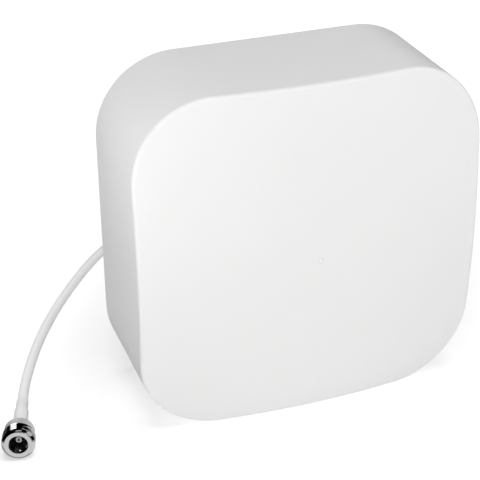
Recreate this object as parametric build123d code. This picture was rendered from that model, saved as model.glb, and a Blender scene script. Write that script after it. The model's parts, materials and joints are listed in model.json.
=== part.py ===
from build123d import *
import math
import os

# Indoor wall-mount panel antenna of a cellular signal booster.
# Millimetres. +Z is up, the domed front faces -Y, and the origin is at the
# middle of the bottom side, halfway between the back rim and the crown.

# ---------------------------------------------------------------- housing
SIDE = 170.0              # width and height of the housing
DEPTH = 73.6              # back rim to the crown of the front
CORNER_R = 39.0           # outline corner radius
CROWN_R = 419.3           # radius of the domed front
EDGE_R = 2.0              # rounding between the dome and the sides
WALL = 2.5                # radome wall
MID_Z = SIDE / 2
BACK_Y = DEPTH / 2
CROWN_Y = -DEPTH / 2
GATE_X = -0.2             # moulding gate mark, near the middle of the front
GATE_Z = MID_Z + 1.3
GATE_DISH_R = 1.6
GATE_DISH_DEPTH = 0.15
GATE_STUB_R = 0.7

# ---------------------------------------------------------------- back cover
COVER_GAP = 0.25          # clearance between the cover and the radome wall
COVER_T = 2.8
COVER_INNER_Y = BACK_Y - COVER_T
LIP_T = 1.6
LIP_DEPTH = 5.0
RIB_T = 1.6
RIB_DEPTH = 6.0
RIB_X = 22.0
SCREW_PITCH = 133.0       # cover screws, square pattern
CUP_R = 5.6               # screw well around each cover screw
CUP_BORE_R = 3.4
CUP_DEPTH = 8.0
CUP_FLOOR = 2.4
SCREW_HOLE_R = 1.7        # clearance for an M3 screw
PILOT_R = 1.3             # pilot for an M3 thread-forming screw
SCREW_R = 1.25            # core of that screw
PILOT_DEPTH = 11.0
RADOME_BOSS_R = 4.4
BOSS_WEB_REACH = 12.0     # diagonal web from each boss into its corner
BOSS_WEB_T = 2.0
CROSS_SPAN = 3.0          # driver recess in the screw heads
CROSS_T = 0.7

KEYHOLE_PITCH = 80.0      # between the two wall hooks
KEYHOLE_Z = 106.0         # centre of the entry circles
KEYHOLE_R = 4.5
KEYHOLE_SLOT_R = 2.3
KEYHOLE_SLOT_RISE = 10.0
HOOK_BOX = (13.0, 22.0)   # inside of the pocket behind each keyhole
HOOK_BOX_DEPTH = 6.0
HOOK_BOX_WALL = 1.6

# ---------------------------------------------------------------- cable bay
BAY_WIDTH = 22.0          # recess in the back for the cable exit
BAY_TOP_Z = 53.0
BAY_DEPTH = 15.7
BAY_WALL = 2.3
NOTCH_R = 5.5             # cable notch through the bottom rim
NOTCH_DEPTH = 9.0
GLAND_Y = BACK_Y - 9.2    # axis of the cable where it leaves the bay's roof
GLAND_HOLE_R = 4.1
GLAND_NECK_R = 4.0
GLAND_FLANGE_R = 5.6
GLAND_FLANGE_T = 3.0
BOOT_LENGTH = 14.0
BOOT_TIP_R = 3.3
BOOT_GROOVES = 4
BOOT_GROOVE_PITCH = 2.8
NUT_FLATS = 11.0
NUT_T = 4.0

# ---------------------------------------------------------------- antenna
SHEET_T = 1.2             # reflector sheet
TRAY_SIDE = 112.0
TRAY_FLANGE = 9.0
TRAY_NOTCH = 6.0          # relief where two flanges meet
TRAY_REAR_Y = BACK_Y - 18.75
TRAY_FRONT_Y = TRAY_REAR_Y - SHEET_T
TRAY_SCREW_PITCH = 96.0
TRAY_BOSS_R = 4.0
PATCH_T = 0.8
LOWER_PATCH = 96.0
LOWER_GAP = 24.0          # reflector to lower patch
UPPER_PATCH = 64.0
UPPER_GAP = 13.0          # lower patch to upper patch
LOWER_REAR_Y = TRAY_FRONT_Y - LOWER_GAP
LOWER_FRONT_Y = LOWER_REAR_Y - PATCH_T
UPPER_REAR_Y = LOWER_FRONT_Y - UPPER_GAP
UPPER_FRONT_Y = UPPER_REAR_Y - PATCH_T
SPACER_PITCH = 48.0
SPACER_FLATS = 6.0
SPACER_BORE_R = 1.5
STUD_R = 1.45
HEAD_R = 2.8
HEAD_T = 1.9
POST_R = 3.0
POST_BASE_R = 2.7
FEED_Z = MID_Z + 19.0     # where the centre conductor goes through the tray
PATCH_SLOT_X = 22.0       # slots that open out the lower patch's band
PATCH_SLOT_INSET = 11.0
PATCH_SLOT_LENGTH = 28.0
PATCH_SLOT_WIDTH = 3.0
STRIP_T = 0.8             # feed strip and clamp strip
STRIP_STANDOFF = 2.0      # tray to the feed strip's tab
RIVET_X = 2.0
RIVET_Z = FEED_Z + 7.0
RIVET_R = 0.8
RIVET_HOLE_R = 0.85
RIVET_HEAD_R = 1.4
RIVET_HEAD_T = 0.6
BUSH_R = 2.1
BUSH_HOLE_R = 2.2
CLAMP_FOOT_SPAN = 21.0
CLAMP_SCREW_X = 7.5

# ---------------------------------------------------------------- coax
CABLE_R = 2.5
JACKET_BORE_R = 1.85
BRAID_R = 1.8
BRAID_BORE_R = 1.5
DIELECTRIC_R = 1.45
DIELECTRIC_BORE_R = 0.5
CONDUCTOR_R = 0.45
COAX_Y = TRAY_REAR_Y + CABLE_R + 0.05
COAX_BEND_R = 15.0
SADDLE_Z = 84.5
GROUND_Z = 92.5

# ---------------------------------------------------------------- jack
JACK_THREAD_R = 15.875 / 2    # 5/8-24 thread of an N jack
JACK_BORE_R = 4.4
JACK_NOSE_R = 6.7
JACK_BAND_R = 7.3
JACK_NECK_R = 4.0
JACK_NOSE_END = 0.6           # distances from the mouth
JACK_THREAD_START = 1.2
JACK_THREAD_END = 7.0
JACK_BAND_END = 13.0
JACK_BODY_END = 16.0
JACK_BORE_END = 10.2
INSULATOR_R = 4.2
INSULATOR_END = 12.0
CONTACT_RECESS = 4.6
CONTACT_R = 1.5
CONTACT_BORE_R = 0.82
CONTACT_END = 14.0
CONTACT_SLOT = 0.3
FERRULE_R = 3.1
FERRULE_END = 32.0
SLEEVE_R = 3.42
SLEEVE_TIP_R = 2.9
SLEEVE_START = 16.3
SLEEVE_END = 42.0
JACK_MOUTH_X = -144.85
JACK_MOUTH_Y = -21.90
JACK_HEADING = 14.35          # degrees from +Y to the jack's rear end
JACK_TILT = 6.5               # the mouth tips up: the band's rear and the cable rest on the floor


def wall_plane(y):
    """XZ plane at depth y whose normal points to the front."""
    return Plane(origin=(0, y, 0), x_dir=(1, 0, 0), z_dir=(0, -1, 0))


def floor_plane(z):
    """XY plane at height z."""
    return Plane(origin=(0, 0, z))


def slab(sketch, y_back, y_front):
    """Extrude an XZ sketch between two depths."""
    return extrude(wall_plane(y_back) * sketch, amount=y_back - y_front)


def pin(x, z, radius, y_back, y_front):
    """Round bar along Y."""
    return slab(Pos(x, z) * Circle(radius), y_back, y_front)


def block(x_low, x_high, y_low, y_high, z_low, z_high):
    """Box between two corners."""
    centre = Pos((x_low + x_high) / 2, (y_low + y_high) / 2, (z_low + z_high) / 2)
    return centre * Box(x_high - x_low, y_high - y_low, z_high - z_low)


def square_pattern(pitch):
    """Centres of a square pattern about the middle of the housing."""
    half = pitch / 2
    return [(sx * half, MID_Z + sz * half) for sx in (-1, 1) for sz in (-1, 1)]


def outline(inset):
    """The housing's rounded-square outline, moved inwards."""
    side = SIDE - 2 * inset
    return Pos(0, MID_Z) * RectangleRounded(side, side, CORNER_R - inset)


def domed_block(inset, y_back):
    """Rounded square prism with the domed front, all moved inwards."""
    prism = slab(outline(inset), y_back, CROWN_Y - 1)
    ball = Pos(0, CROWN_Y + CROWN_R, MID_Z) * Sphere(CROWN_R - inset)
    return prism & ball


def front_edges(solid):
    """The chain of edges between the dome and the sides."""
    return solid.edges().filter_by(lambda edge: edge.center().Y < CROWN_Y / 2)


def notch_tool():
    """Half-round cable notch through the bottom rim, open to the back."""
    end_y = BACK_Y - NOTCH_DEPTH + NOTCH_R
    slot = block(-NOTCH_R, NOTCH_R, end_y, BACK_Y + 1, -1, 6)
    return slot + Pos(0, end_y, 2.5) * Cylinder(NOTCH_R, 7)


def front_depth(x, z):
    """Y of the domed front at a point of it."""
    return CROWN_Y + CROWN_R - math.sqrt(CROWN_R**2 - x**2 - (z - MID_Z) ** 2)


def gate_mark(shell):
    """Shallow dish with the stub of the moulding gate in it."""
    surface = front_depth(GATE_X, GATE_Z)
    ball_r = (GATE_DISH_R**2 + GATE_DISH_DEPTH**2) / (2 * GATE_DISH_DEPTH)
    ball = Pos(GATE_X, surface + GATE_DISH_DEPTH - ball_r, GATE_Z) * Sphere(ball_r)
    near = pin(GATE_X, GATE_Z, GATE_DISH_R + 0.3, surface + 1, surface - 1)
    stub = pin(GATE_X, GATE_Z, GATE_STUB_R, surface + WALL / 2, surface)
    return shell - (ball & near) + stub


def make_radome():
    outer = domed_block(0, BACK_Y)
    outer = fillet(front_edges(outer), EDGE_R)
    inner = domed_block(WALL, BACK_Y + 1)
    inner = fillet(front_edges(inner), EDGE_R / 2)
    shell = outer - inner
    boss_end = BACK_Y - CUP_DEPTH
    skin = domed_block(WALL / 2, BACK_Y)
    for x, z in square_pattern(SCREW_PITCH):
        boss = pin(x, z, RADOME_BOSS_R, boss_end, CROWN_Y)
        out_x = math.copysign(BOSS_WEB_REACH, x)
        out_z = math.copysign(BOSS_WEB_REACH, z - MID_Z)
        web_mid = Pos(x + out_x / 2, (boss_end + CROWN_Y) / 2, z + out_z / 2)
        turn = -math.copysign(45, x * (z - MID_Z))
        web = web_mid * Rot(0, turn, 0) * Box(BOSS_WEB_REACH * math.sqrt(2), boss_end - CROWN_Y, BOSS_WEB_T)
        shell += (boss + web) & skin
        shell -= pin(x, z, PILOT_R, boss_end + 1, boss_end - PILOT_DEPTH)
    return gate_mark(shell) - notch_tool()


def keyhole(x):
    """Entry circle with a narrower slot above it."""
    entry = Pos(x, KEYHOLE_Z) * Circle(KEYHOLE_R)
    slot = Pos(x, KEYHOLE_Z + KEYHOLE_SLOT_RISE / 2) * Rectangle(2 * KEYHOLE_SLOT_R, KEYHOLE_SLOT_RISE)
    top = Pos(x, KEYHOLE_Z + KEYHOLE_SLOT_RISE) * Circle(KEYHOLE_SLOT_R)
    return entry + slot + top


def make_back_cover():
    inset = WALL + COVER_GAP
    cover = slab(outline(inset), BACK_Y, COVER_INNER_Y)
    lip = slab(outline(inset) - outline(inset + LIP_T), COVER_INNER_Y, COVER_INNER_Y - LIP_DEPTH)
    cover += lip
    whole = slab(outline(inset), BACK_Y, CROWN_Y)
    for x, z in square_pattern(SCREW_PITCH):
        cover += pin(x, z, CUP_R, BACK_Y, BACK_Y - CUP_DEPTH) & whole
    for x in (-RIB_X, RIB_X):
        cover += block(x - RIB_T / 2, x + RIB_T / 2, COVER_INNER_Y - RIB_DEPTH, COVER_INNER_Y, 10, SIDE - 10)
    for x, z in square_pattern(TRAY_SCREW_PITCH):
        cover += pin(x, z, TRAY_BOSS_R, COVER_INNER_Y, TRAY_REAR_Y)
    wide, tall = HOOK_BOX
    box_z = KEYHOLE_Z + KEYHOLE_SLOT_RISE / 2
    for x in (-KEYHOLE_PITCH / 2, KEYHOLE_PITCH / 2):
        rim = 2 * HOOK_BOX_WALL
        hood = Pos(x, box_z) * RectangleRounded(wide + rim, tall + rim, 3)
        hollow = Pos(x, box_z) * RectangleRounded(wide, tall, 1.5)
        cover += slab(hood, COVER_INNER_Y, COVER_INNER_Y - HOOK_BOX_DEPTH - HOOK_BOX_WALL)
        cover -= slab(hollow, COVER_INNER_Y, COVER_INNER_Y - HOOK_BOX_DEPTH)
        cover -= slab(keyhole(x), BACK_Y + 1, COVER_INNER_Y - 1)
    bay_floor_y = BACK_Y - BAY_DEPTH
    half = BAY_WIDTH / 2
    bay_shell = block(-half - 2, half + 2, bay_floor_y - BAY_WALL, BACK_Y, inset, BAY_TOP_Z + BAY_WALL)
    bay = block(-half, half, bay_floor_y, BACK_Y + 1, inset + 2, BAY_TOP_Z)
    bay = fillet(bay.edges().filter_by(Axis.Y), 1.5)
    cover = (cover + bay_shell) - bay
    cover -= notch_tool()
    cover -= Pos(0, GLAND_Y, BAY_TOP_Z) * Cylinder(GLAND_HOLE_R, 12)
    for x, z in square_pattern(SCREW_PITCH):
        cover -= pin(x, z, CUP_BORE_R, BACK_Y + 1, BACK_Y - CUP_DEPTH + CUP_FLOOR)
        cover -= pin(x, z, SCREW_HOLE_R, BACK_Y, BACK_Y - CUP_DEPTH - 1)
    for x, z in square_pattern(TRAY_SCREW_PITCH):
        cover -= pin(x, z, PILOT_R, TRAY_REAR_Y + PILOT_DEPTH, TRAY_REAR_Y - 1)
    return cover


def cross_recess(x, z, y_face, depth, facing):
    """Cross-shaped driver recess in a screw head."""
    low, high = sorted((y_face, y_face + facing * depth))
    span, half = CROSS_SPAN / 2, CROSS_T / 2
    bar = block(x - span, x + span, low, high, z - half, z + half)
    return bar + block(x - half, x + half, low, high, z - span, z + span)


def screw(x, z, seat_y, length, facing, shank_r=SCREW_R, head_r=HEAD_R, head_t=HEAD_T):
    """Pan-head screw along Y; facing is +1 when its head looks to the back."""
    head_top = seat_y + facing * head_t
    tip = seat_y - facing * length
    head = pin(x, z, head_r, max(seat_y, head_top), min(seat_y, head_top))
    rim = head.edges().filter_by(lambda edge: abs(edge.center().Y - head_top) < 0.01)
    head = fillet(rim, head_t * 0.45)
    shank = pin(x, z, shank_r, max(seat_y, tip), min(seat_y, tip))
    return head + shank - cross_recess(x, z, head_top, head_t * 0.6, -facing)


def make_tray():
    half = TRAY_SIDE / 2
    run = half - TRAY_NOTCH
    front = TRAY_FRONT_Y - TRAY_FLANGE
    along_z = block(-half, half, front, TRAY_REAR_Y, MID_Z - run, MID_Z + run)
    along_x = block(-run, run, front, TRAY_REAR_Y, MID_Z - half, MID_Z + half)
    folds_z = along_z.edges().filter_by(Axis.Z).sort_by(Axis.Y)[-2:]
    folds_x = along_x.edges().filter_by(Axis.X).sort_by(Axis.Y)[-2:]
    along_z = fillet(folds_z, 2.0)
    along_x = fillet(folds_x, 2.0)
    inner = half - SHEET_T
    core_z = block(-inner, inner, front - 1, TRAY_FRONT_Y, MID_Z - run - 1, MID_Z + run + 1)
    core_x = block(-run - 1, run + 1, front - 1, TRAY_FRONT_Y, MID_Z - inner, MID_Z + inner)
    core_z = fillet(core_z.edges().filter_by(Axis.Z).sort_by(Axis.Y)[-2:], 0.8)
    core_x = fillet(core_x.edges().filter_by(Axis.X).sort_by(Axis.Y)[-2:], 0.8)
    tray = (along_z - core_z) + (along_x - core_x)
    for x, z in square_pattern(TRAY_SCREW_PITCH) + square_pattern(SPACER_PITCH):
        tray -= pin(x, z, SCREW_HOLE_R, TRAY_REAR_Y + 1, TRAY_FRONT_Y - 1)
    tray -= pin(0, MID_Z, POST_BASE_R + 0.05, TRAY_REAR_Y + 1, TRAY_FRONT_Y - 1)
    tray -= pin(0, FEED_Z, BUSH_HOLE_R, TRAY_REAR_Y + 1, TRAY_FRONT_Y - 1)
    for z in (SADDLE_Z, GROUND_Z):
        for x in (-CLAMP_SCREW_X, CLAMP_SCREW_X):
            tray -= pin(x, z, PILOT_R, TRAY_REAR_Y + 1, TRAY_FRONT_Y - 1)
    return tray


def make_patch(side, rear_y, corner_cut, slots):
    """Square radiator with clipped corners and optional side slots."""
    plate = Pos(0, MID_Z) * Rectangle(side, side)
    plate = chamfer(plate.vertices(), corner_cut)
    if slots:
        for x in (-PATCH_SLOT_X, PATCH_SLOT_X):
            slot = SlotOverall(PATCH_SLOT_LENGTH, PATCH_SLOT_WIDTH, 90)
            plate -= Pos(x, MID_Z - side / 2 + PATCH_SLOT_INSET) * slot
    patch = slab(plate, rear_y, rear_y - PATCH_T)
    for x, z in square_pattern(SPACER_PITCH):
        patch -= pin(x, z, SCREW_HOLE_R, rear_y + 1, rear_y - PATCH_T - 1)
    return patch


def make_lower_patch():
    patch = make_patch(LOWER_PATCH, LOWER_REAR_Y, 10, True)
    patch -= pin(0, MID_Z, SCREW_HOLE_R, LOWER_REAR_Y + 1, LOWER_FRONT_Y - 1)
    for x in (-RIVET_X, RIVET_X):
        patch -= pin(x, RIVET_Z, RIVET_HOLE_R, LOWER_REAR_Y + 1, LOWER_FRONT_Y - 1)
    return patch


def hex_spacer(x, z, y_back, y_front, stud=0.0):
    """Hexagonal nylon spacer, with a stud at its back or bored right through."""
    body = slab(Pos(x, z) * RegularPolygon(SPACER_FLATS / 2, 6, major_radius=False), y_back, y_front)
    if stud:
        body += pin(x, z, STUD_R, y_back + stud, y_back)
        return body - pin(x, z, SPACER_BORE_R, y_back - 4, y_front - 1)
    return body - pin(x, z, SPACER_BORE_R, y_back + 1, y_front - 1)


def make_lower_spacers():
    return [hex_spacer(x, z, TRAY_FRONT_Y, LOWER_REAR_Y) for x, z in square_pattern(SPACER_PITCH)]


def make_upper_spacers():
    return [hex_spacer(x, z, LOWER_FRONT_Y, UPPER_REAR_Y, 6.0) for x, z in square_pattern(SPACER_PITCH)]


def make_centre_post():
    """Self-clinching post, flush behind the tray."""
    base = pin(0, MID_Z, POST_BASE_R, TRAY_REAR_Y, TRAY_FRONT_Y)
    post = base + pin(0, MID_Z, POST_R, TRAY_FRONT_Y, LOWER_REAR_Y)
    return post - pin(0, MID_Z, SPACER_BORE_R, LOWER_REAR_Y + 8, LOWER_REAR_Y - 1)


def make_feed_strip():
    """Z-shaped strip from the centre conductor up to the lower patch."""
    tab_y = TRAY_FRONT_Y - STRIP_STANDOFF
    riser_z = FEED_Z + 3
    strip = block(-3, 3, tab_y - STRIP_T, tab_y, FEED_Z - 3, riser_z)
    strip += block(-3, 3, LOWER_REAR_Y, tab_y, riser_z, riser_z + STRIP_T)
    strip += block(-4, 4, LOWER_REAR_Y, LOWER_REAR_Y + STRIP_T, riser_z, RIVET_Z + 4)
    strip -= pin(0, FEED_Z, 0.6, tab_y + 1, tab_y - 2)
    for x in (-RIVET_X, RIVET_X):
        strip -= pin(x, RIVET_Z, RIVET_HOLE_R, LOWER_REAR_Y + 2, LOWER_REAR_Y - 1)
    return strip


def make_feed_rivets():
    rivets = []
    back_y = LOWER_REAR_Y + STRIP_T
    for x in (-RIVET_X, RIVET_X):
        shank = pin(x, RIVET_Z, RIVET_R, back_y, LOWER_FRONT_Y)
        back = pin(x, RIVET_Z, RIVET_HEAD_R, back_y + RIVET_HEAD_T, back_y)
        front = pin(x, RIVET_Z, RIVET_HEAD_R, LOWER_FRONT_Y, LOWER_FRONT_Y - RIVET_HEAD_T)
        rivets.append(shank + back + front)
    return rivets


def make_feed_bush():
    """PTFE bush that keeps the centre conductor off the tray."""
    bush = pin(0, FEED_Z, BUSH_R, TRAY_REAR_Y + 0.6, TRAY_FRONT_Y)
    bush += pin(0, FEED_Z, 3.0, TRAY_FRONT_Y, TRAY_FRONT_Y - 0.8)
    return bush - pin(0, FEED_Z, 0.55, TRAY_REAR_Y + 2, TRAY_FRONT_Y - 2)


def coax_centreline(z_end):
    """Inside run: up from the gland, over to the tray and along its back."""
    step = GLAND_Y - COAX_Y
    turn = math.acos(1 - step / (2 * COAX_BEND_R))
    z_start = BAY_TOP_Z - 1.0
    z_bend = BAY_TOP_Z + BAY_WALL + NUT_T + 3.0
    mid = COAX_BEND_R * math.sin(turn)
    up = Line((0, GLAND_Y, z_start), (0, GLAND_Y, z_bend))
    slope = (0, -math.sin(turn), math.cos(turn))
    knee = (0, GLAND_Y - step / 2, z_bend + mid)
    arc_out = TangentArc((0, GLAND_Y, z_bend), knee, tangent=(0, 0, 1))
    arc_back = TangentArc(knee, (0, COAX_Y, z_bend + 2 * mid), tangent=slope)
    along = Line((0, COAX_Y, z_bend + 2 * mid), (0, COAX_Y, z_end))
    return up + arc_out + arc_back + along, z_start


def coax_layer(outer, bore, z_end):
    path, z_start = coax_centreline(z_end)
    plane = Plane(origin=(0, GLAND_Y, z_start), x_dir=(1, 0, 0), z_dir=(0, 0, 1))
    layer = sweep(plane * Circle(outer), path=path)
    if bore:
        layer -= sweep(plane * Circle(bore), path=path)
    return layer


def make_centre_conductor():
    """Runs up the coax, then bends through the tray to the feed strip."""
    bend = 1.6
    path, z_start = coax_centreline(FEED_Z - bend)
    corner = TangentArc((0, COAX_Y, FEED_Z - bend), (0, COAX_Y - bend, FEED_Z), tangent=(0, 0, 1))
    end = Line((0, COAX_Y - bend, FEED_Z), (0, TRAY_FRONT_Y - 3.4, FEED_Z))
    plane = Plane(origin=(0, GLAND_Y, z_start), x_dir=(1, 0, 0), z_dir=(0, 0, 1))
    return sweep(plane * Circle(CONDUCTOR_R), path=path + corner + end)


def make_clamp(z, bore_r, width):
    """Saddle clamp over the coax, with two flat feet on the tray's back."""
    crown_r = bore_r + STRIP_T
    hump = Pos(0, COAX_Y) * Circle(crown_r)
    hump += Pos(0, (COAX_Y + TRAY_REAR_Y) / 2) * Rectangle(2 * crown_r, COAX_Y - TRAY_REAR_Y)
    feet = Pos(0, TRAY_REAR_Y + STRIP_T / 2) * Rectangle(CLAMP_FOOT_SPAN, STRIP_T)
    hollow = Pos(0, COAX_Y) * Circle(bore_r)
    hollow += Pos(0, (COAX_Y + TRAY_REAR_Y) / 2 - 1) * Rectangle(2 * bore_r, COAX_Y - TRAY_REAR_Y + 2)
    above = Pos(0, TRAY_REAR_Y + 10) * Rectangle(40, 20)
    profile = ((hump + feet) & above) - hollow
    clamp = extrude(floor_plane(z - width / 2) * profile, amount=width)
    for x in (-CLAMP_SCREW_X, CLAMP_SCREW_X):
        clamp -= pin(x, z, 1.5, TRAY_REAR_Y + 3, TRAY_REAR_Y - 1)
    return clamp


def make_clamp_screws():
    screws = []
    for z in (SADDLE_Z, GROUND_Z):
        for x in (-CLAMP_SCREW_X, CLAMP_SCREW_X):
            screws.append(screw(x, z, TRAY_REAR_Y + STRIP_T, 4.0, 1, head_r=2.2, head_t=1.4))
    return screws


def make_solder():
    """Solder at the feed strip and where the braid meets its clamp."""
    tab_front = TRAY_FRONT_Y - STRIP_STANDOFF - STRIP_T
    upright = (Align.CENTER, Align.CENTER, Align.MIN)
    dot = Pos(0, tab_front, FEED_Z) * Rot(90, 0, 0) * Cone(1.5, 0.75, 0.9, align=upright)
    dot -= pin(0, FEED_Z, CONDUCTOR_R, tab_front + 1, tab_front - 2)
    seam_z = GROUND_Z + 2.0
    seam = Pos(0, COAX_Y, seam_z) * Cone(BRAID_R + 0.6, BRAID_R + 0.1, 1.0, align=upright)
    seam -= Pos(0, COAX_Y, seam_z) * Cylinder(BRAID_R, 6)
    return [dot, seam]


def make_gland():
    """Strain relief: a flange and tapered boot below the bay's roof, a neck above."""
    axis = Pos(0, GLAND_Y, 0)
    flange_low = BAY_TOP_Z - GLAND_FLANGE_T
    neck_high = BAY_TOP_Z + BAY_WALL + NUT_T + 0.8
    neck = axis * Pos(0, 0, (flange_low + neck_high) / 2) * Cylinder(GLAND_NECK_R, neck_high - flange_low)
    flange = axis * Pos(0, 0, BAY_TOP_Z - GLAND_FLANGE_T / 2) * Cylinder(GLAND_FLANGE_R, GLAND_FLANGE_T)
    boot_low = flange_low - BOOT_LENGTH
    boot = axis * Pos(0, 0, boot_low) * Cone(
        BOOT_TIP_R, GLAND_NECK_R + 0.8, BOOT_LENGTH, align=(Align.CENTER, Align.CENTER, Align.MIN)
    )
    gland = neck + flange + boot
    for i in range(BOOT_GROOVES):
        groove_z = boot_low + 2.2 + BOOT_GROOVE_PITCH * i
        ring = axis * Pos(0, 0, groove_z) * (Cylinder(7, 1.0) - Cylinder(2.95 + 0.27 * i, 1.0))
        gland -= ring
    bore = axis * Pos(0, 0, boot_low - 1) * Cylinder(
        CABLE_R, neck_high - boot_low + 2, align=(Align.CENTER, Align.CENTER, Align.MIN)
    )
    return gland - bore


def make_gland_nut():
    sketch = RegularPolygon(NUT_FLATS / 2, 6, major_radius=False) - Circle(GLAND_NECK_R + 0.05)
    return extrude(Pos(0, GLAND_Y, BAY_TOP_Z + BAY_WALL) * sketch, amount=NUT_T)


# The jack lies on the rear edge of its band. This is the line of its axis.
COS_TILT = math.cos(math.radians(JACK_TILT))
SIN_TILT = math.sin(math.radians(JACK_TILT))
REAR = Vector(
    math.sin(math.radians(JACK_HEADING)) * COS_TILT,
    math.cos(math.radians(JACK_HEADING)) * COS_TILT,
    -SIN_TILT,
)
MOUTH = Vector(JACK_MOUTH_X, JACK_MOUTH_Y, JACK_BAND_R * COS_TILT + JACK_BAND_END * SIN_TILT)
CABLE_END = MOUTH + REAR * SLEEVE_END
CABLE_LANDS = MOUTH + REAR * ((MOUTH.Z - CABLE_R) / SIN_TILT)

# Route of the free cable, from the boot's tip to the jack's sleeve. It drops
# out of the bay, lies on the floor, loops round behind the housing and runs
# forward past its left side.
FLOOR_Z = CABLE_R
BOOT_TIP_Z = BAY_TOP_Z - GLAND_FLANGE_T - BOOT_LENGTH
CABLE_ROUTE = [
    (0, GLAND_Y, BOOT_TIP_Z),
    (0, GLAND_Y, 22.3),
    (0.2, 34.9, 9.6),
    (1.1, 48.5, FLOOR_Z),
    (5.7, 68.1, FLOOR_Z),
    (14.0, 90.8, FLOOR_Z),
    (22.5, 114.5, FLOOR_Z),
    (25.5, 139.5, FLOOR_Z),
    (19.3, 162.0, FLOOR_Z),
    (1.5, 177.0, FLOOR_Z),
    (-22.4, 179.0, FLOOR_Z),
    (-44.0, 168.5, FLOOR_Z),
    (-62.3, 151.8, FLOOR_Z),
    (-81.0, 127.7, FLOOR_Z),
    (-99.7, 99.6, FLOOR_Z),
    (-114.8, 72.0, FLOOR_Z),
    (-124.7, 49.0, FLOOR_Z),
    tuple(CABLE_LANDS),
    tuple(CABLE_END),
]


def bend_radii(route):
    """As large an arc at each corner as its two runs allow."""
    points = [Vector(*point) for point in route]
    radii = []
    for before, corner, after in zip(points, points[1:], points[2:]):
        turn = math.radians((corner - before).get_angle(after - corner))
        shorter = min((corner - before).length, (after - corner).length)
        radii.append(0.45 * shorter / math.tan(turn / 2))
    return radii


def make_cable():
    radii = bend_radii(CABLE_ROUTE)
    path = FilletPolyline(*CABLE_ROUTE, radius=radii)
    start = Plane(origin=path @ 0, z_dir=path % 0)
    cable = sweep(start * Circle(CABLE_R), path=path)
    ideal = math.pi * CABLE_R**2 * path.length
    print("cable length", round(path.length, 1), "tightest bend", round(min(radii), 1))
    print("bend radii", [round(radius, 1) for radius in radii])
    print("cable volume / ideal", round(cable.volume / ideal, 4))
    return cable


def on_jack(solid):
    """Place a solid built along +Z, from the mouth to the rear, on the jack's axis."""
    side = Vector(REAR.Y, -REAR.X, 0)
    return Plane(origin=MOUTH, x_dir=side, z_dir=REAR) * solid


def turned(points):
    """Solid of revolution from (radius, distance from the mouth) points."""
    wire = Polyline(*[(radius, 0, along) for radius, along in points], close=True)
    return on_jack(revolve(make_face(wire), Axis.Z, 360))


def make_jack_body():
    """Nose, threaded barrel, plain band and tapered shoulder, bored for the insulator."""
    return turned(
        [
            (JACK_BORE_R + 0.3, 0),
            (JACK_NOSE_R - 0.15, 0),
            (JACK_NOSE_R, 0.15),
            (JACK_NOSE_R, JACK_NOSE_END),
            (JACK_THREAD_R, JACK_THREAD_START),
            (JACK_THREAD_R, JACK_THREAD_END),
            (JACK_BAND_R, JACK_THREAD_END + 0.5),
            (JACK_BAND_R, JACK_BAND_END),
            (JACK_BAND_R - 0.6, JACK_BAND_END + 0.6),
            (JACK_NECK_R, JACK_BODY_END - 0.5),
            (JACK_NECK_R, JACK_BODY_END),
            (CONTACT_R + 0.5, JACK_BODY_END),
            (CONTACT_R + 0.5, INSULATOR_END),
            (INSULATOR_R, INSULATOR_END),
            (INSULATOR_R, JACK_BORE_END),
            (JACK_BORE_R, JACK_BORE_END - 0.4),
            (JACK_BORE_R, 0.3),
        ]
    )


def make_jack_insulator():
    bore = CONTACT_R + 0.05
    outer = INSULATOR_R - 0.05
    front = JACK_BORE_END + 0.1
    rear = INSULATOR_END - 0.05
    return turned([(bore, front), (outer, front), (outer, rear), (bore, rear)])


def make_jack_contact():
    """Slotted socket contact, held in the insulator."""
    tip = CONTACT_RECESS
    hole = [(0, tip + 5.5), (CONTACT_BORE_R, tip + 5.5), (CONTACT_BORE_R, tip)]
    outside = [(CONTACT_R - 0.2, tip), (CONTACT_R, tip + 0.4), (CONTACT_R, CONTACT_END), (0, CONTACT_END)]
    slots = Pos(0, 0, tip + 1.5) * (Box(CONTACT_SLOT, 4, 4) + Box(4, CONTACT_SLOT, 4))
    return turned(hole + outside) - on_jack(slots)


def make_crimp_ferrule():
    bore = CABLE_R + 0.02
    front = [(bore, JACK_BODY_END), (FERRULE_R, JACK_BODY_END)]
    return turned(front + [(FERRULE_R, FERRULE_END), (bore, FERRULE_END)])


def make_sleeve():
    """Heat-shrink over the ferrule, drawn in to the cable at its rear."""
    over_ferrule = FERRULE_R + 0.02
    over_cable = CABLE_R + 0.02
    return turned(
        [
            (over_ferrule, SLEEVE_START),
            (SLEEVE_R, SLEEVE_START),
            (SLEEVE_R, FERRULE_END),
            (SLEEVE_TIP_R, FERRULE_END + 4),
            (SLEEVE_TIP_R - 0.1, SLEEVE_END),
            (over_cable, SLEEVE_END),
            (over_cable, FERRULE_END + 0.1),
            (over_ferrule, FERRULE_END + 0.1),
        ]
    )


def make_cable_end():
    """Jacketed cable inside the sleeve and ferrule."""
    return turned([(0, JACK_BODY_END), (CABLE_R, JACK_BODY_END), (CABLE_R, SLEEVE_END), (0, SLEEVE_END)])


def save(name, shape):
    solids = shape if isinstance(shape, list) else [shape]
    solids = [solid for item in solids for solid in item.solids()]
    result = solids[0] if len(solids) == 1 else Compound(children=solids)
    export_step(result, f"parts/{name}.step")


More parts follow.
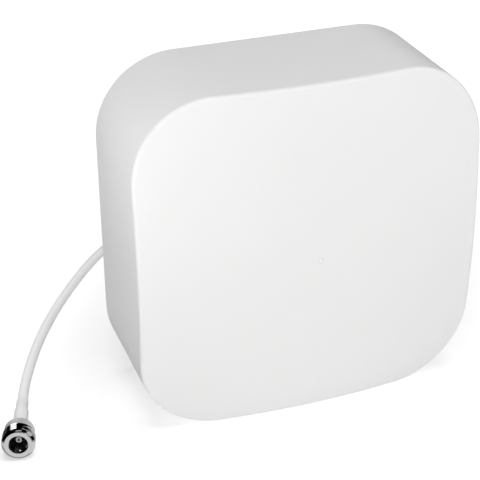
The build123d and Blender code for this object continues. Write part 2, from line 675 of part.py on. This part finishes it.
os.makedirs("parts", exist_ok=True)
seat_of_cover_screw = BACK_Y - CUP_DEPTH + CUP_FLOOR
parts = {
    "radome": make_radome(),
    "back_cover": make_back_cover(),
    "cover_screws": [screw(x, z, seat_of_cover_screw, 11, 1) for x, z in square_pattern(SCREW_PITCH)],
    "reflector_tray": make_tray(),
    "tray_screws": [screw(x, z, TRAY_FRONT_Y, 9, -1) for x, z in square_pattern(TRAY_SCREW_PITCH)],
    "lower_spacers": make_lower_spacers(),
    "spacer_screws": [screw(x, z, TRAY_REAR_Y, 8, 1, STUD_R) for x, z in square_pattern(SPACER_PITCH)],
    "lower_patch": make_lower_patch(),
    "upper_spacers": make_upper_spacers(),
    "upper_patch": make_patch(UPPER_PATCH, UPPER_REAR_Y, 6, False),
    "patch_screws": [screw(x, z, UPPER_FRONT_Y, 7, -1, STUD_R) for x, z in square_pattern(SPACER_PITCH)],
    "centre_post": make_centre_post(),
    "post_screw": screw(0, MID_Z, LOWER_FRONT_Y, 7, -1, STUD_R),
    "feed_strip": make_feed_strip(),
    "feed_rivets": make_feed_rivets(),
    "feed_bush": make_feed_bush(),
    "coax_jacket": coax_layer(CABLE_R, JACKET_BORE_R, SADDLE_Z + 3.5),
    "coax_braid": coax_layer(BRAID_R, BRAID_BORE_R, GROUND_Z + 3.0),
    "coax_dielectric": coax_layer(DIELECTRIC_R, DIELECTRIC_BORE_R, GROUND_Z + 5.5),
    "coax_conductor": make_centre_conductor(),
    "coax_saddle": make_clamp(SADDLE_Z, CABLE_R + 0.05, 5.0),
    "ground_clamp": make_clamp(GROUND_Z, BRAID_R + 0.05, 4.0),
    "clamp_screws": make_clamp_screws(),
    "solder_joints": make_solder(),
    "strain_relief": make_gland(),
    "gland_nut": make_gland_nut(),
    "pigtail_cable": make_cable(),
    "cable_end": make_cable_end(),
    "heat_shrink": make_sleeve(),
    "crimp_ferrule": make_crimp_ferrule(),
    "jack_body": make_jack_body(),
    "jack_insulator": make_jack_insulator(),
    "jack_contact": make_jack_contact(),
}
for name, shape in parts.items():
    save(name, shape)
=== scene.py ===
import json
import math

import bmesh
import bpy
from mathutils import Matrix, Vector


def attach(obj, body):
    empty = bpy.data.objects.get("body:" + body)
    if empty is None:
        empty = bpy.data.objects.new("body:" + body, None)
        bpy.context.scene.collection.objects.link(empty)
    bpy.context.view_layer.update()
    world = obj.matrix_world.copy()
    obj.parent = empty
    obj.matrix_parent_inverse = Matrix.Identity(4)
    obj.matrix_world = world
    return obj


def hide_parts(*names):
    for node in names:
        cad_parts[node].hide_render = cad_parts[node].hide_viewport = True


# Indoor wall-mount panel antenna of a cellular signal booster, standing on its
# bottom side with its coax pigtail on the floor. Metres, in the frame of the
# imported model: +Z is up and the domed front faces -Y. The jack and its sleeve are
# drawn in millimetres along the jack's own axis and scaled by MM.

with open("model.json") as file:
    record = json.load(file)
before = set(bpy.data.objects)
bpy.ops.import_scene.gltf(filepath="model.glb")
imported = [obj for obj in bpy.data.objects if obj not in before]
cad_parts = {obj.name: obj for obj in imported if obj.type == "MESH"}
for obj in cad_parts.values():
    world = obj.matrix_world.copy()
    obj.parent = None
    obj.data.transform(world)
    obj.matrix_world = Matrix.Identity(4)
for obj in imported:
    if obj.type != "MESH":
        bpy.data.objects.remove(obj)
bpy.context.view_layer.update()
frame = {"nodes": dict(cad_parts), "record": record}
scene = bpy.context.scene

MM = 0.001

# ---------------------------------------------------------------- jack axis
# Distances along the jack are from its mouth. The same values drive its solids
# in part.py.
JACK_MOUTH_X = -144.85 * MM
JACK_MOUTH_Y = -21.90 * MM
JACK_HEADING = math.radians(14.35)
JACK_TILT = math.radians(6.5)
THREAD_R = 15.875 / 2
THREAD_END = 7.0
BAND_R = 7.3
BAND_END = 13.0
SLEEVE_END = 42.0
REAR = Vector((
    math.sin(JACK_HEADING) * math.cos(JACK_TILT),
    math.cos(JACK_HEADING) * math.cos(JACK_TILT),
    -math.sin(JACK_TILT),
))
MOUTH_Z = (BAND_R * math.cos(JACK_TILT) + BAND_END * math.sin(JACK_TILT)) * MM
MOUTH = Vector((JACK_MOUTH_X, JACK_MOUTH_Y, MOUTH_Z))
ASIDE = Vector((REAR.y, -REAR.x, 0)).normalized()
JACK_FRAME = Matrix.Translation(MOUTH) @ Matrix((ASIDE, REAR.cross(ASIDE), REAR)).transposed().to_4x4()

# ---------------------------------------------------------------- cord
CABLE_R = 2.5 * MM
CABLE_LANDS = MOUTH + REAR * ((MOUTH.z - CABLE_R) / math.sin(JACK_TILT))
CABLE_END = MOUTH + REAR * SLEEVE_END * MM
# The route's points, in millimetres, as in part.py: down out of the strain
# relief, then round behind the housing on the floor.
EXIT_RUN = [(0, 27.6, 36), (0, 27.6, 22.3), (0.2, 34.9, 9.6)]
FLOOR_RUN = [
    (1.1, 48.5), (5.7, 68.1), (14.0, 90.8), (22.5, 114.5), (25.5, 139.5), (19.3, 162.0),
    (1.5, 177.0), (-22.4, 179.0), (-44.0, 168.5), (-62.3, 151.8), (-81.0, 127.7),
    (-99.7, 99.6), (-114.8, 72.0), (-124.7, 49.0),
]
CABLE_ROUTE = [Vector(place) * MM for place in EXIT_RUN]
CABLE_ROUTE += [Vector((x * MM, y * MM, CABLE_R)) for x, y in FLOOR_RUN]
CABLE_ROUTE += [CABLE_LANDS, CABLE_END]


# ================================================================ materials
BLOTCH = 9.0              # patches of drifting tone, per metre
RADOME_TONE = 0.86
RADOME_ROUGH = 0.42
# The gate mark is a real shallow dish in the front. Its shading is painted into the plastic's tone: a
# painted highlight in the middle and a painted shade ring round it.
GATE = (-0.2 * MM, -36.8 * MM, 86.3 * MM)
GATE_REACH = 2.4 * MM
GATE_PAINTED_HIGHLIGHT = 1.09
GATE_HIGHLIGHT_AND_SHADE_TONES = ((0.20, 1.09), (0.30, 0.955), (0.62, 0.965), (0.85, 1.0))   # share of the reach, tone


class Surface:
    """A Principled material whose colour, roughness and bump come from nodes."""

    def __init__(self, name, **sockets):
        self.material = bpy.data.materials.new(name)
        self.material.use_nodes = True
        self.tree = self.material.node_tree
        self.shader = self.tree.nodes["Principled BSDF"]
        for socket, value in sockets.items():
            self.shader.inputs[socket.replace("_", " ")].default_value = value
        self.place = self.add("ShaderNodeTexCoord").outputs["Object"]

    def add(self, kind, **settings):
        node = self.tree.nodes.new(kind)
        for key, value in settings.items():
            setattr(node, key, value)
        return node

    def feed(self, node, **values):
        """Set or link a node's inputs by name."""
        for name, value in values.items():
            socket = node.inputs[name.replace("_", " ")]
            if isinstance(value, bpy.types.NodeSocket):
                self.tree.links.new(value, socket)
            else:
                socket.default_value = value
        return node

    def stretched(self, scale):
        return self.feed(self.add("ShaderNodeMapping"), Vector=self.place, Scale=scale).outputs[0]

    def noise(self, scale, detail=2.0, rough=0.5, stretch=None):
        """Noise value; scale is in cells per metre."""
        vector = self.stretched(stretch) if stretch else self.place
        node = self.add("ShaderNodeTexNoise")
        self.feed(node, Vector=vector, Scale=scale, Detail=detail, Roughness=rough)
        return node.outputs["Fac"]

    def spread(self, value, low, high, start=0.3, end=0.7):
        """Map a noise value to a range."""
        node = self.add("ShaderNodeMapRange")
        self.feed(node, Value=value, From_Min=start, From_Max=end, To_Min=low, To_Max=high)
        return node.outputs["Result"]

    def ramp(self, value, dark, light, start=0.3, end=0.7):
        """Blend two colours by a value."""
        node = self.add("ShaderNodeValToRGB")
        node.color_ramp.elements[0].position = start
        node.color_ramp.elements[0].color = (*dark, 1)
        node.color_ramp.elements[1].position = end
        node.color_ramp.elements[1].color = (*light, 1)
        self.feed(node, Fac=value)
        return node.outputs["Color"]

    def bump(self, height, distance):
        node = self.feed(self.add("ShaderNodeBump"), Height=height, Distance=distance, Strength=1.0)
        return node.outputs["Normal"]

    def finish(self, colour, roughness=None, normal=None):
        self.feed(self.shader, Base_Color=colour)
        if roughness:
            self.feed(self.shader, Roughness=roughness)
        if normal:
            self.feed(self.shader, Normal=normal)
        return self.material


def grey(value, warmth=0.0):
    return (value, value, value * (1 - warmth))


def drifting_tone(surface, tone):
    """White or grey whose tone drifts slightly from place to place."""
    drift = surface.noise(BLOTCH, 3.0)
    return surface.ramp(drift, grey(tone - 0.012, 0.004), grey(tone + 0.008, 0.004))


def moulded_skin(surface, rough, grain, depth):
    """Roughness with faint flow marks, and a fine even grain."""
    patches = surface.noise(60.0, 4.0, 0.6)
    roughness = surface.spread(patches, rough - 0.04, rough + 0.05)
    return roughness, surface.bump(surface.noise(grain, 2.0, 0.6), depth)


def moulded(name, tone, rough, grain, depth, **sockets):
    """Moulded plastic; grain is in cells per metre and depth in metres."""
    surface = Surface(name, **sockets)
    return surface.finish(drifting_tone(surface, tone), *moulded_skin(surface, rough, grain, depth))


def gate_painted_highlight_and_shade(surface):
    """Painted highlight in the middle of the moulding gate's dish, and painted shade in a ring round it, as
    tones that multiply the plastic's colour.
    """
    away = surface.add("ShaderNodeVectorMath", operation="DISTANCE")
    surface.tree.links.new(surface.place, away.inputs[0])
    away.inputs[1].default_value = GATE
    mark = surface.add("ShaderNodeValToRGB")
    stops = mark.color_ramp.elements
    stops[0].color = (*grey(GATE_PAINTED_HIGHLIGHT), 1)
    stops[1].color = (1, 1, 1, 1)
    for position, tone in GATE_HIGHLIGHT_AND_SHADE_TONES:
        stops.new(position).color = (*grey(tone), 1)
    surface.feed(mark, Fac=surface.spread(away.outputs["Value"], 0.0, 1.0, 0.0, GATE_REACH))
    return mark.outputs["Color"]


def shell_paint():
    """The radome's plastic, with painted highlight and painted shade at its gate mark in the middle of the
    front.
    """
    surface = Surface("moulded_white_shell", Specular_IOR_Level=0.3)
    tint = surface.add("ShaderNodeMix", data_type="RGBA", blend_type="MULTIPLY", clamp_result=False)
    tint.inputs["Factor"].default_value = 1.0
    surface.tree.links.new(drifting_tone(surface, RADOME_TONE), tint.inputs["A"])
    # the gate mark's painted highlight and painted shade multiply the plastic's tone
    surface.tree.links.new(gate_painted_highlight_and_shade(surface), tint.inputs["B"])
    skin = moulded_skin(surface, RADOME_ROUGH, 2600.0, 0.00002)
    return surface.finish(tint.outputs["Result"], *skin)


def metal(name, dark, light, rough, scale, stretch, depth, **sockets):
    """Bare or plated metal: drawn or turned marks in its tone, roughness and bump.

    scale is in marks per metre, stretch scales them along each axis, and depth
    is in metres.
    """
    surface = Surface(name, **{"Metallic": 1.0, **sockets})
    marks = surface.noise(scale, 3.0, 0.55, stretch)
    colour = surface.ramp(marks, dark, light)
    roughness = surface.spread(marks, rough * 0.75, rough * 1.3)
    return surface.finish(colour, roughness, surface.bump(marks, depth))


def braid(name):
    """Tinned braid: two sets of crossing strands round the coax, with painted shade that darkens the tin in
    the hollows between strands.
    """
    surface = Surface(name, Metallic=1.0)
    waves = []
    for lean in (1, -1):
        turn = surface.feed(
            surface.add("ShaderNodeMapping"), Vector=surface.place, Rotation=(0, lean * math.radians(45), 0)
        )
        wave = surface.add("ShaderNodeTexWave", bands_direction="X")
        surface.feed(wave, Vector=turn.outputs[0], Scale=420.0, Distortion=0.6, Detail=1.0)
        waves.append(wave.outputs["Fac"])
    weave = surface.add("ShaderNodeMath", operation="MAXIMUM")
    surface.tree.links.new(waves[0], weave.inputs[0])
    surface.tree.links.new(waves[1], weave.inputs[1])
    height = weave.outputs[0]
    # painted shade: the tin is darker where the weave is low, between the strands
    colour = surface.ramp(height, (0.35, 0.35, 0.34), (0.78, 0.78, 0.76))
    return surface.finish(colour, surface.spread(height, 0.5, 0.28), surface.bump(height, 0.0002))


MATERIALS = {
    "radome_shell": shell_paint(),
    "cover_shell": moulded("textured_white_cover", 0.80, 0.62, 1500.0, 0.00007, Specular_IOR_Level=0.4),
    "steel_screw": metal(
        "zinc_plated_steel", (0.46, 0.46, 0.48), (0.66, 0.66, 0.68), 0.34, 700.0, (1, 0.15, 1), 0.00001
    ),
    "sheet_aluminium": metal(
        "mill_aluminium", (0.70, 0.71, 0.72), (0.84, 0.85, 0.86), 0.36, 900.0, (1, 1, 0.02), 0.00001
    ),
    "patch_brass": metal(
        "rolled_brass", (0.70, 0.54, 0.26), (0.83, 0.68, 0.38), 0.30, 800.0, (0.02, 1, 1), 0.00001
    ),
    "nylon": moulded(
        "natural_nylon", 0.78, 0.45, 1800.0, 0.00003, Subsurface_Weight=0.15, Subsurface_Scale=0.002
    ),
    "turned_aluminium": metal(
        "turned_aluminium", (0.62, 0.63, 0.64), (0.80, 0.81, 0.82), 0.28, 2400.0, (0.1, 1, 0.1), 0.00001
    ),
    "ptfe": moulded("ptfe", 0.82, 0.5, 1500.0, 0.00002, Subsurface_Weight=0.2, Subsurface_Scale=0.001),
    "cable_jacket": moulded("white_pvc_jacket", 0.86, 0.38, 1300.0, 0.00003, Specular_IOR_Level=0.45),
    "tinned_braid": braid("tinned_braid"),
    "copper": metal(
        "bare_copper", (0.66, 0.34, 0.20), (0.85, 0.50, 0.34), 0.25, 1200.0, (1, 1, 0.05), 0.00001
    ),
    "tinned_strip": metal(
        "tinned_strip", (0.58, 0.58, 0.57), (0.74, 0.74, 0.72), 0.35, 900.0, (0.05, 1, 1), 0.00001
    ),
    "solder": metal("solder", (0.55, 0.56, 0.58), (0.75, 0.76, 0.78), 0.22, 500.0, (1, 1, 1), 0.00004),
    "relief_rubber": moulded("white_flexible_boot", 0.76, 0.6, 1600.0, 0.00004, Sheen_Weight=0.1),
    "sleeve": moulded("white_heat_shrink", 0.82, 0.36, 900.0, 0.00005, Specular_IOR_Level=0.5),
    "nickel": metal(
        "bright_nickel", (0.70, 0.70, 0.69), (0.80, 0.80, 0.79), 0.10, 60.0, (1, 1, 30), 0.000004
    ),
    # Painted shade: the jack's PTFE insulator is painted near-black for the shade deep in its bore.
    "dark_insulator": moulded("dark_insulator", 0.035, 0.5, 1500.0, 0.00002),
    "contact_silver": metal(
        "silvered_contact", (0.86, 0.86, 0.85), (0.95, 0.95, 0.94), 0.16, 900.0, (1, 1, 1), 0.000005,
        Metallic=0.5
    ),
}
SATIN_NICKEL = metal(
    "satin_nickel", (0.66, 0.66, 0.65), (0.80, 0.80, 0.79), 0.50, 60.0, (1, 1, 60), 0.00001,
    Metallic=0.4
)


def paint_cad_nodes():
    for row in frame["record"]["subparts"]:
        slots = frame["nodes"][row["node"]].data.materials
        for index in range(len(slots)):
            slots[index] = MATERIALS[row["material_slot"]]


paint_cad_nodes()


# ================================================================ pieces
def link(obj):
    scene.collection.objects.link(obj)
    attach(obj, "root")
    return obj


SHARP_ANGLE = math.radians(18)


def lathe(name, rings, segments, shift, finishes):
    """Closed solid of revolution about the jack's axis.

    rings are (radius, distance from the mouth, index of the finish from here to
    the next ring) in millimetres, in order round the section. shift is a
    function of (radius, distance, turn) that says how far the surface moves out.
    """
    points, faces, tints = [], [], []
    for radius, along, _ in rings:
        for k in range(segments):
            turn = 2 * math.pi * k / segments
            reach = radius + shift(radius, along, turn)
            points.append((reach * math.cos(turn) * MM, reach * math.sin(turn) * MM, along * MM))
    count = len(rings)
    for i in range(count):
        j = (i + 1) % count
        for k in range(segments):
            m = (k + 1) % segments
            faces.append((i * segments + k, i * segments + m, j * segments + m, j * segments + k))
            tints.append(rings[i][2])
    mesh = bpy.data.meshes.new(name)
    mesh.from_pydata(points, [], faces)
    for material in finishes:
        mesh.materials.append(material)
    mesh.polygons.foreach_set("material_index", tints)
    mesh.polygons.foreach_set("use_smooth", [True] * len(faces))
    mesh.set_sharp_from_angle(angle=SHARP_ANGLE)
    mesh.update()
    obj = bpy.data.objects.new(name, mesh)
    obj.matrix_world = JACK_FRAME
    return obj


# ---------------------------------------------------------------- jack body
BORE_R = 4.4
BORE_END = 10.2
NOSE_R = 6.7
NOSE_END = 0.6
THREAD_START = 1.2
INSULATOR_R = 4.2
INSULATOR_END = 12.0
CONTACT_R = 1.5
NECK_R = 4.0
BODY_END = 16.0
THREAD_PITCH = 25.4 / 24
THREAD_DEPTH = 0.22
THREAD_GROOVE = 0.2       # half the groove's width, as a share of the pitch
THREAD_RUNOUT = 4.7       # where the thread has faded out
THREAD_FADES = (0.5, 0.8)   # lengths over which it fades in and out
ROWS_PER_TURN = 18
MIRROR, SATIN = 0, 1


def thread_cut(radius, along, turn):
    """Right-hand thread with broad crests, fading in and out at its ends."""
    if radius < THREAD_R - 0.01 or not THREAD_START <= along <= THREAD_RUNOUT:
        return 0.0
    fade_in, fade_out = THREAD_FADES
    fade = min(1.0, (along - THREAD_START) / fade_in, (THREAD_RUNOUT - along) / fade_out)
    phase = (along / THREAD_PITCH - turn / (2 * math.pi)) % 1.0
    groove = max(0.0, 1 - abs(phase - 0.5) / THREAD_GROOVE)
    return -THREAD_DEPTH * fade * groove


def jack_rings():
    rings = [
        (BORE_R + 0.32, 0.0, MIRROR), (NOSE_R - 0.15, 0.0, MIRROR), (NOSE_R - 0.04, 0.04, MIRROR),
        (NOSE_R, 0.15, MIRROR), (NOSE_R, NOSE_END, MIRROR), (THREAD_R - 0.12, THREAD_START - 0.1, MIRROR),
    ]
    rows = int((THREAD_RUNOUT - THREAD_START) / THREAD_PITCH * ROWS_PER_TURN)
    for i in range(rows + 1):
        along = THREAD_START + (THREAD_RUNOUT - THREAD_START) * i / rows
        rings.append((THREAD_R, along, MIRROR))
    rings += [
        (THREAD_R, THREAD_END - 0.25, MIRROR), (THREAD_R - 0.08, THREAD_END - 0.06, MIRROR),
        (THREAD_R - 0.25, THREAD_END, MIRROR), (BAND_R + 0.1, THREAD_END + 0.06, SATIN),
        (BAND_R, THREAD_END + 0.3, SATIN), (BAND_R, BAND_END - 0.3, SATIN),
        (BAND_R - 0.12, BAND_END - 0.05, SATIN), (BAND_R - 0.6, BAND_END + 0.4, SATIN),
        (BAND_R - 1.5, BAND_END + 1.2, SATIN), (NECK_R + 0.15, BODY_END - 0.7, SATIN),
        (NECK_R, BODY_END - 0.4, SATIN), (NECK_R, BODY_END, SATIN), (CONTACT_R + 0.5, BODY_END, SATIN),
        (CONTACT_R + 0.5, INSULATOR_END, SATIN), (INSULATOR_R, INSULATOR_END, SATIN),
        (INSULATOR_R, BORE_END, MIRROR), (BORE_R - 0.3, BORE_END - 0.2, MIRROR),
        (BORE_R - 0.3, 2.2, MIRROR), (BORE_R, 1.9, MIRROR), (BORE_R, 0.3, MIRROR),
        (BORE_R + 0.1, 0.12, MIRROR), (BORE_R + 0.2, 0.04, MIRROR),
    ]
    return rings


jack = lathe("n_jack", jack_rings(), 128, thread_cut, (MATERIALS["nickel"], SATIN_NICKEL))
link(jack)
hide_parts("jack_body")


# ---------------------------------------------------------------- sleeve
FERRULE_R = 3.1
FERRULE_END = 32.0
SLEEVE_R = 3.42
SLEEVE_TIP_R = 2.9
SLEEVE_START = 16.3
SLEEVE_BORE_R = CABLE_R / MM + 0.02


def sleeve_waves(radius, along, turn):
    """Heat-shrink is never quite round: slow waves, and a crease where it leaves the ferrule."""
    if radius == SLEEVE_BORE_R:
        return 0.0
    slow = 0.035 * math.sin(2 * turn + along * 0.35) + 0.02 * math.sin(3 * turn - along * 0.6)
    crease = 0.05 * math.exp(-((along - FERRULE_END - 0.8) / 0.7) ** 2) * math.sin(5 * turn)
    return slow + crease


def sleeve_rings():
    outside = [
        (FERRULE_R + 0.05, SLEEVE_START), (SLEEVE_R - 0.08, SLEEVE_START), (SLEEVE_R, SLEEVE_START + 0.15),
        (SLEEVE_R + 0.02, 18.0), (SLEEVE_R, 20.0), (SLEEVE_R - 0.02, 22.5), (SLEEVE_R, 25.0),
        (SLEEVE_R + 0.02, 27.5), (SLEEVE_R + 0.03, 30.0), (SLEEVE_R, FERRULE_END - 0.6),
        (SLEEVE_R - 0.08, FERRULE_END), (SLEEVE_R - 0.2, FERRULE_END + 0.6),
        (SLEEVE_R - 0.32, FERRULE_END + 1.6), (SLEEVE_R - 0.42, FERRULE_END + 2.8),
        (SLEEVE_TIP_R + 0.03, 36.0), (SLEEVE_TIP_R - 0.02, 38.0), (SLEEVE_TIP_R, 40.0),
        (SLEEVE_TIP_R - 0.03, SLEEVE_END - 0.2), (SLEEVE_TIP_R - 0.12, SLEEVE_END),
    ]
    inside = [
        (SLEEVE_BORE_R, SLEEVE_END), (SLEEVE_BORE_R, FERRULE_END + 0.1),
        (FERRULE_R + 0.02, FERRULE_END + 0.1),
    ]
    return [(radius, along, 0) for radius, along in outside + inside]


sleeve = lathe("shrink_sleeve", sleeve_rings(), 64, sleeve_waves, (MATERIALS["sleeve"],))
link(sleeve)
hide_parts("heat_shrink")


# ---------------------------------------------------------------- cable
def make_cord():
    data = bpy.data.curves.new("pigtail_cord", "CURVE")
    data.dimensions = "3D"
    data.resolution_u = 24
    data.bevel_depth = CABLE_R
    data.bevel_resolution = 8
    data.use_fill_caps = True
    spline = data.splines.new("NURBS")
    spline.points.add(len(CABLE_ROUTE) - 1)
    for point, place in zip(spline.points, CABLE_ROUTE):
        point.co = (*place, 1.0)
    spline.order_u = 3
    spline.use_endpoint_u = True
    data.materials.append(MATERIALS["cable_jacket"])
    cord = link(bpy.data.objects.new("pigtail_cord", data))
    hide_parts("pigtail_cable")
    return cord


cord = make_cord()

# ================================================================ camera
CAMERA_AZIMUTH = math.radians(-19.559)
CAMERA_ELEVATION = math.radians(28.530)
CAMERA_ROLL = math.radians(-0.566)
CAMERA_DISTANCE = 0.68118
CAMERA_ASIDE = 0.02485
CAMERA_UP = 0.00584
CAMERA_LENS = 105.75
HOUSING_MIDDLE = Vector((0, 0, 0.085))


def toward(azimuth, elevation):
    """Unit vector from the housing; azimuth 0 is straight in front of it and 90 to its right."""
    flat = math.cos(elevation)
    return Vector((math.sin(azimuth) * flat, -math.cos(azimuth) * flat, math.sin(elevation)))


def make_camera():
    back = toward(CAMERA_AZIMUTH, CAMERA_ELEVATION)
    level = (-back).cross(Vector((0, 0, 1))).normalized()
    upright = level.cross(-back)
    right = math.cos(CAMERA_ROLL) * level + math.sin(CAMERA_ROLL) * upright
    up = math.cos(CAMERA_ROLL) * upright - math.sin(CAMERA_ROLL) * level
    place = HOUSING_MIDDLE + back * CAMERA_DISTANCE - right * CAMERA_ASIDE - up * CAMERA_UP
    data = bpy.data.cameras.new("camera")
    data.lens = CAMERA_LENS
    data.sensor_width = 36
    data.clip_start = 0.01
    data.clip_end = 20
    camera = bpy.data.objects.new("camera", data)
    scene.collection.objects.link(camera)
    camera.matrix_world = Matrix.Translation(place) @ Matrix((right, up, back)).transposed().to_4x4()
    scene.camera = camera


make_camera()

# ================================================================ studio
scene.view_settings.view_transform = "Standard"

FLOOR_HALF = 4.0
FLOOR_GLOW = 0.5
GLOW_NEAR = 0.8           # share of the glow under the object, so that its shadow still shows
GLOW_FAR = 2.0
GLOW_FADE = (0.15, 0.6)   # where the glow rises to its full strength
BACKDROP_RADIUS = 5.5
TABLE_CARD_Z = -0.012
TABLE_CARDS = [           # name, left, right, front, back, glow
    ("table_left", -0.22, -0.125, -0.03, 0.035, 0.42),
    ("table_back", -0.30, -0.125, 0.035, 0.35, 0.07),
    ("table_right", -0.125, 0.05, -0.03, 0.2, 0.65),
]


def flat_mesh(name, left, right, front, back, z, material):
    """A rectangle facing up."""
    mesh = bpy.data.meshes.new(name)
    corners = [(left, front, z), (right, front, z), (right, back, z), (left, back, z)]
    mesh.from_pydata(corners, [], [(0, 1, 2, 3)])
    mesh.materials.append(material)
    return mesh


def put_on_stage(name, mesh, unseen_by):
    """Add a studio object that these kinds of ray pass by."""
    obj = bpy.data.objects.new(name, mesh)
    scene.collection.objects.link(obj)
    for ray in unseen_by:
        setattr(obj, "visible_" + ray, False)
    return obj


def make_floor():
    """White floor that glows more and more away from the object."""
    paint = Surface("white_floor", Emission_Strength=FLOOR_GLOW, Specular_IOR_Level=0.0)
    away = paint.add("ShaderNodeVectorMath", operation="LENGTH")
    paint.tree.links.new(paint.place, away.inputs[0])
    near = paint.spread(away.outputs["Value"], 0.0, 1.0, *GLOW_FADE)
    glow = paint.ramp(near, grey(GLOW_NEAR), grey(GLOW_FAR), 0.0, 1.0)
    paint.feed(paint.shader, Emission_Color=glow)
    white = paint.finish(paint.ramp(paint.noise(6.0, 3.0), grey(0.84), grey(0.86)))
    half = FLOOR_HALF
    put_on_stage("floor", flat_mesh("floor", -half, half, -half, half, 0, white), ("glossy",))


def glow_paint(name, strength, darkest, scale):
    """Paint that only glows, almost evenly."""
    paint = Surface(name, Emission_Strength=strength, Specular_IOR_Level=0.0)
    glow = paint.ramp(paint.noise(scale, 2.0), grey(darkest), grey(1.0))
    paint.feed(paint.shader, Emission_Color=glow)
    return paint.finish(paint.ramp(paint.noise(scale, 2.0), grey(0.0), grey(0.01)))


def make_backdrop():
    """White dome round the studio. Only the camera sees it."""
    shape = bmesh.new()
    bmesh.ops.create_uvsphere(shape, u_segments=48, v_segments=24, radius=BACKDROP_RADIUS)
    mesh = bpy.data.meshes.new("backdrop")
    shape.to_mesh(mesh)
    shape.free()
    mesh.materials.append(glow_paint("backdrop_white", 1.0, 0.99, 0.4))
    put_on_stage("backdrop", mesh, ("diffuse", "glossy", "transmission", "volume_scatter", "shadow"))


def light_only(source, receivers):
    """Let a lamp or a glowing card light only these pieces."""
    lit = bpy.data.collections.new("lit_by_" + source.name)
    for obj in receivers:
        lit.objects.link(obj)
    source.light_linking.receiver_collection = lit


def make_table_cards():
    """The white table near the jack, as the jack's nickel reflects it. Nothing else sees it."""
    for name, left, right, front, back, glow in TABLE_CARDS:
        paint = glow_paint(name, glow, 0.9, 30.0)
        mesh = flat_mesh(name, left, right, front, back, TABLE_CARD_Z, paint)
        card = put_on_stage(name, mesh, ("camera", "diffuse", "transmission", "volume_scatter", "shadow"))
        light_only(card, (jack,))


make_floor()
make_backdrop()
make_table_cards()

# The surroundings seen in the bright metal: dark all round, above a table that is
# pale in front and greyer behind.
TABLE_PALE = 0.8
TABLE_GREY = 0.12
TABLE_FROM_Z = (-0.22, -0.40)   # height of the direction where the table begins and is in full
TABLE_TURNS_Y = (0.4, -0.2)     # where it turns from grey to pale, going forwards


def map_range(tree, value, span, low, high):
    """Map a value from a span to a range."""
    node = tree.nodes.new("ShaderNodeMapRange")
    for name, number in zip(("From Min", "From Max", "To Min", "To Max"), (*span, low, high)):
        node.inputs[name].default_value = number
    tree.links.new(value, node.inputs["Value"])
    return node.outputs["Result"]


def make_world():
    world = bpy.data.worlds.new("studio")
    world.use_nodes = True
    tree = world.node_tree
    background = tree.nodes["Background"]
    background.inputs["Color"].default_value = (1, 1, 1, 1)
    place = tree.nodes.new("ShaderNodeTexCoord")
    parts = tree.nodes.new("ShaderNodeSeparateXYZ")
    tree.links.new(place.outputs["Generated"], parts.inputs[0])
    product = tree.nodes.new("ShaderNodeMath")
    product.operation = "MULTIPLY"
    below = map_range(tree, parts.outputs["Z"], TABLE_FROM_Z, 0.0, 1.0)
    tone = map_range(tree, parts.outputs["Y"], TABLE_TURNS_Y, TABLE_GREY, TABLE_PALE)
    tree.links.new(below, product.inputs[0])
    tree.links.new(tone, product.inputs[1])
    tree.links.new(product.outputs[0], background.inputs["Strength"])
    scene.world = world


make_world()

JACK_MIDDLE = MOUTH + REAR * 6 * MM
CABLE_MIDDLE = CABLE_ROUTE[-5]

# name, what it points at, azimuth and elevation of the lamp, distance, width, height,
# power, the only pieces it lights
LIGHTS = [
    ("overhead", HOUSING_MIDDLE, (0, 85), 1.4, 1.0, 1.0, 12.1, ()),
    ("front", HOUSING_MIDDLE, (-15, 34), 1.4, 1.0, 1.0, 6.7, ()),
    ("right_fill", HOUSING_MIDDLE, (70, 40), 1.4, 0.5, 0.5, 2.0, ()),
    ("left", HOUSING_MIDDLE, (-60, 30), 0.7, 0.4, 0.4, 0.42, ()),
    ("wall_glow", HOUSING_MIDDLE, (-79, 22), 0.19, 0.06, 0.06, 0.021, (frame["nodes"]["radome"],)),
    ("cable_key", CABLE_MIDDLE, (-95, 55), 0.22, 0.2, 0.2, 0.21, (cord, sleeve)),
    ("back_card", JACK_MIDDLE, (-177.5, 14), 1.5, 0.43, 0.53, 1.55, (jack,)),
    ("glint_card", JACK_MIDDLE, (-14, 30), 1.4, 0.5, 0.12, 0.12, (jack,)),
    ("bore_card", JACK_MIDDLE, (-55, 68), 1.4, 0.4, 0.35, 0.9, (jack,)),
    ("right_card", JACK_MIDDLE, (28, 13), 1.4, 0.6, 0.5, 0.6, (jack,)),
]
UNREFLECTED = ("overhead", "front", "left", "wall_glow", "cable_key")   # no mirror image in the metal


def make_lights():
    for name, target, (azimuth, elevation), distance, width, height, power, receivers in LIGHTS:
        data = bpy.data.lights.new(name, "AREA")
        data.shape = "RECTANGLE"
        data.size = width
        data.size_y = height
        data.energy = power
        way = toward(math.radians(azimuth), math.radians(elevation))
        lamp = bpy.data.objects.new(name, data)
        lamp.location = target + way * distance
        lamp.rotation_euler = way.to_track_quat("Z", "Y").to_euler()
        lamp.visible_camera = False
        lamp.visible_glossy = name not in UNREFLECTED
        scene.collection.objects.link(lamp)
        if receivers:
            light_only(lamp, receivers)


make_lights()
